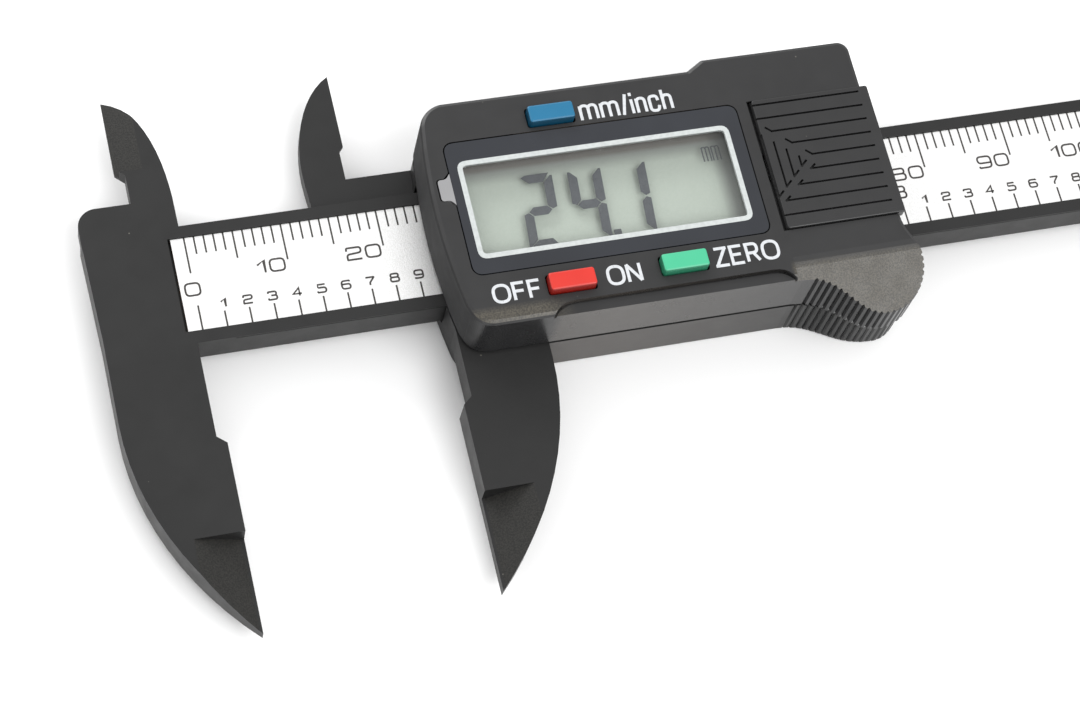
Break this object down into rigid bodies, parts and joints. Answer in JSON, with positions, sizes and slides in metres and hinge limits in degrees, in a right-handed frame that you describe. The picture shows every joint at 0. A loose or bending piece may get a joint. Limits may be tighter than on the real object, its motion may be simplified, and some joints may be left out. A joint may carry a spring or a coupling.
{
  "type": "digital caliper",
  "caption": "Plastic digital caliper with sliding display head, outside and inside jaws, printed beam scale, three push buttons, sliding battery door and depth rod.",
  "frame": {"origin": "centre of the bounding box in plan, on the surface that the tool lies on, jaws open at the pictured reading", "axes": "+X along the beam from the fixed jaws to the depth rod, +Y to the inside jaws, +Z out of the display"},
  "size_m": [0.2466, 0.0594, 0.0142],
  "materials": {
    "body_plastic": "black glass-filled moulding, fine satin texture",
    "housing_plastic": "black satin moulding, smooth",
    "stator": "copper pattern on a thin circuit strip",
    "label": "silvery printed film, satin",
    "steel": "brushed",
    "screw_steel": "machined",
    "lens": "clear window with a dark grey printed border, polished",
    "lcd": "grey-green reflective display",
    "connector": "pink silicone with a dark conductive core",
    "board": "green solder mask",
    "chip": "black potting resin",
    "spring_metal": "rolled spring bronze",
    "cell": "nickel-plated can",
    "blue_plastic": "satin moulding",
    "red_plastic": "satin moulding",
    "green_plastic": "satin moulding"
  },
  "bodies": {
    "beam": {"main_beam": "body_plastic", "stator_strip": "stator", "scale_label": "label", "beam_end_plate": "steel", "end_plate_screw_1": "screw_steel", "end_plate_screw_2": "screw_steel"},
    "slider": {"slider_frame": "body_plastic", "display_housing": "housing_plastic", "display_lens": "lens", "lcd_panel": "lcd", "lcd_connector": "connector", "circuit_board": "board", "control_chip": "chip", "unit_contact_dome": "spring_metal", "power_contact_dome": "spring_metal", "zero_contact_dome": "spring_metal", "positive_contact": "spring_metal", "negative_contact": "spring_metal", "button_cell": "cell", "slide_spring": "spring_metal", "depth_rod": "steel", "depth_rod_screw": "screw_steel", "housing_screw_1": "screw_steel", "housing_screw_2": "screw_steel", "housing_screw_3": "screw_steel", "housing_screw_4": "screw_steel", "board_screw_1": "screw_steel", "board_screw_2": "screw_steel", "board_screw_3": "screw_steel", "board_screw_4": "screw_steel"},
    "battery_cover": {"battery_door": "housing_plastic"},
    "unit_button": {"unit_button": "blue_plastic"},
    "power_button": {"power_button": "red_plastic"},
    "zero_button": {"zero_button": "green_plastic"}
  },
  "joints": [
    {"name": "slider_travel", "type": "slide", "parent": "beam", "child": "slider", "axis": [1, 0, 0], "range_m": [-0.0241, 0.1259]},
    {"name": "battery_door_slide", "type": "slide", "parent": "slider", "child": "battery_cover", "axis": [1, 0, 0], "range_m": [0, 0.014]},
    {"name": "unit_button_press", "type": "slide", "parent": "slider", "child": "unit_button", "axis": [0, 0, -1], "range_m": [0, 0.0005], "stiffness_N_per_m": 600, "deforming": ["unit_contact_dome"]},
    {"name": "power_button_press", "type": "slide", "parent": "slider", "child": "power_button", "axis": [0, 0, -1], "range_m": [0, 0.0005], "stiffness_N_per_m": 600, "deforming": ["power_contact_dome"]},
    {"name": "zero_button_press", "type": "slide", "parent": "slider", "child": "zero_button", "axis": [0, 0, -1], "range_m": [0, 0.0005], "stiffness_N_per_m": 600, "deforming": ["zero_contact_dome"]}
  ]
}
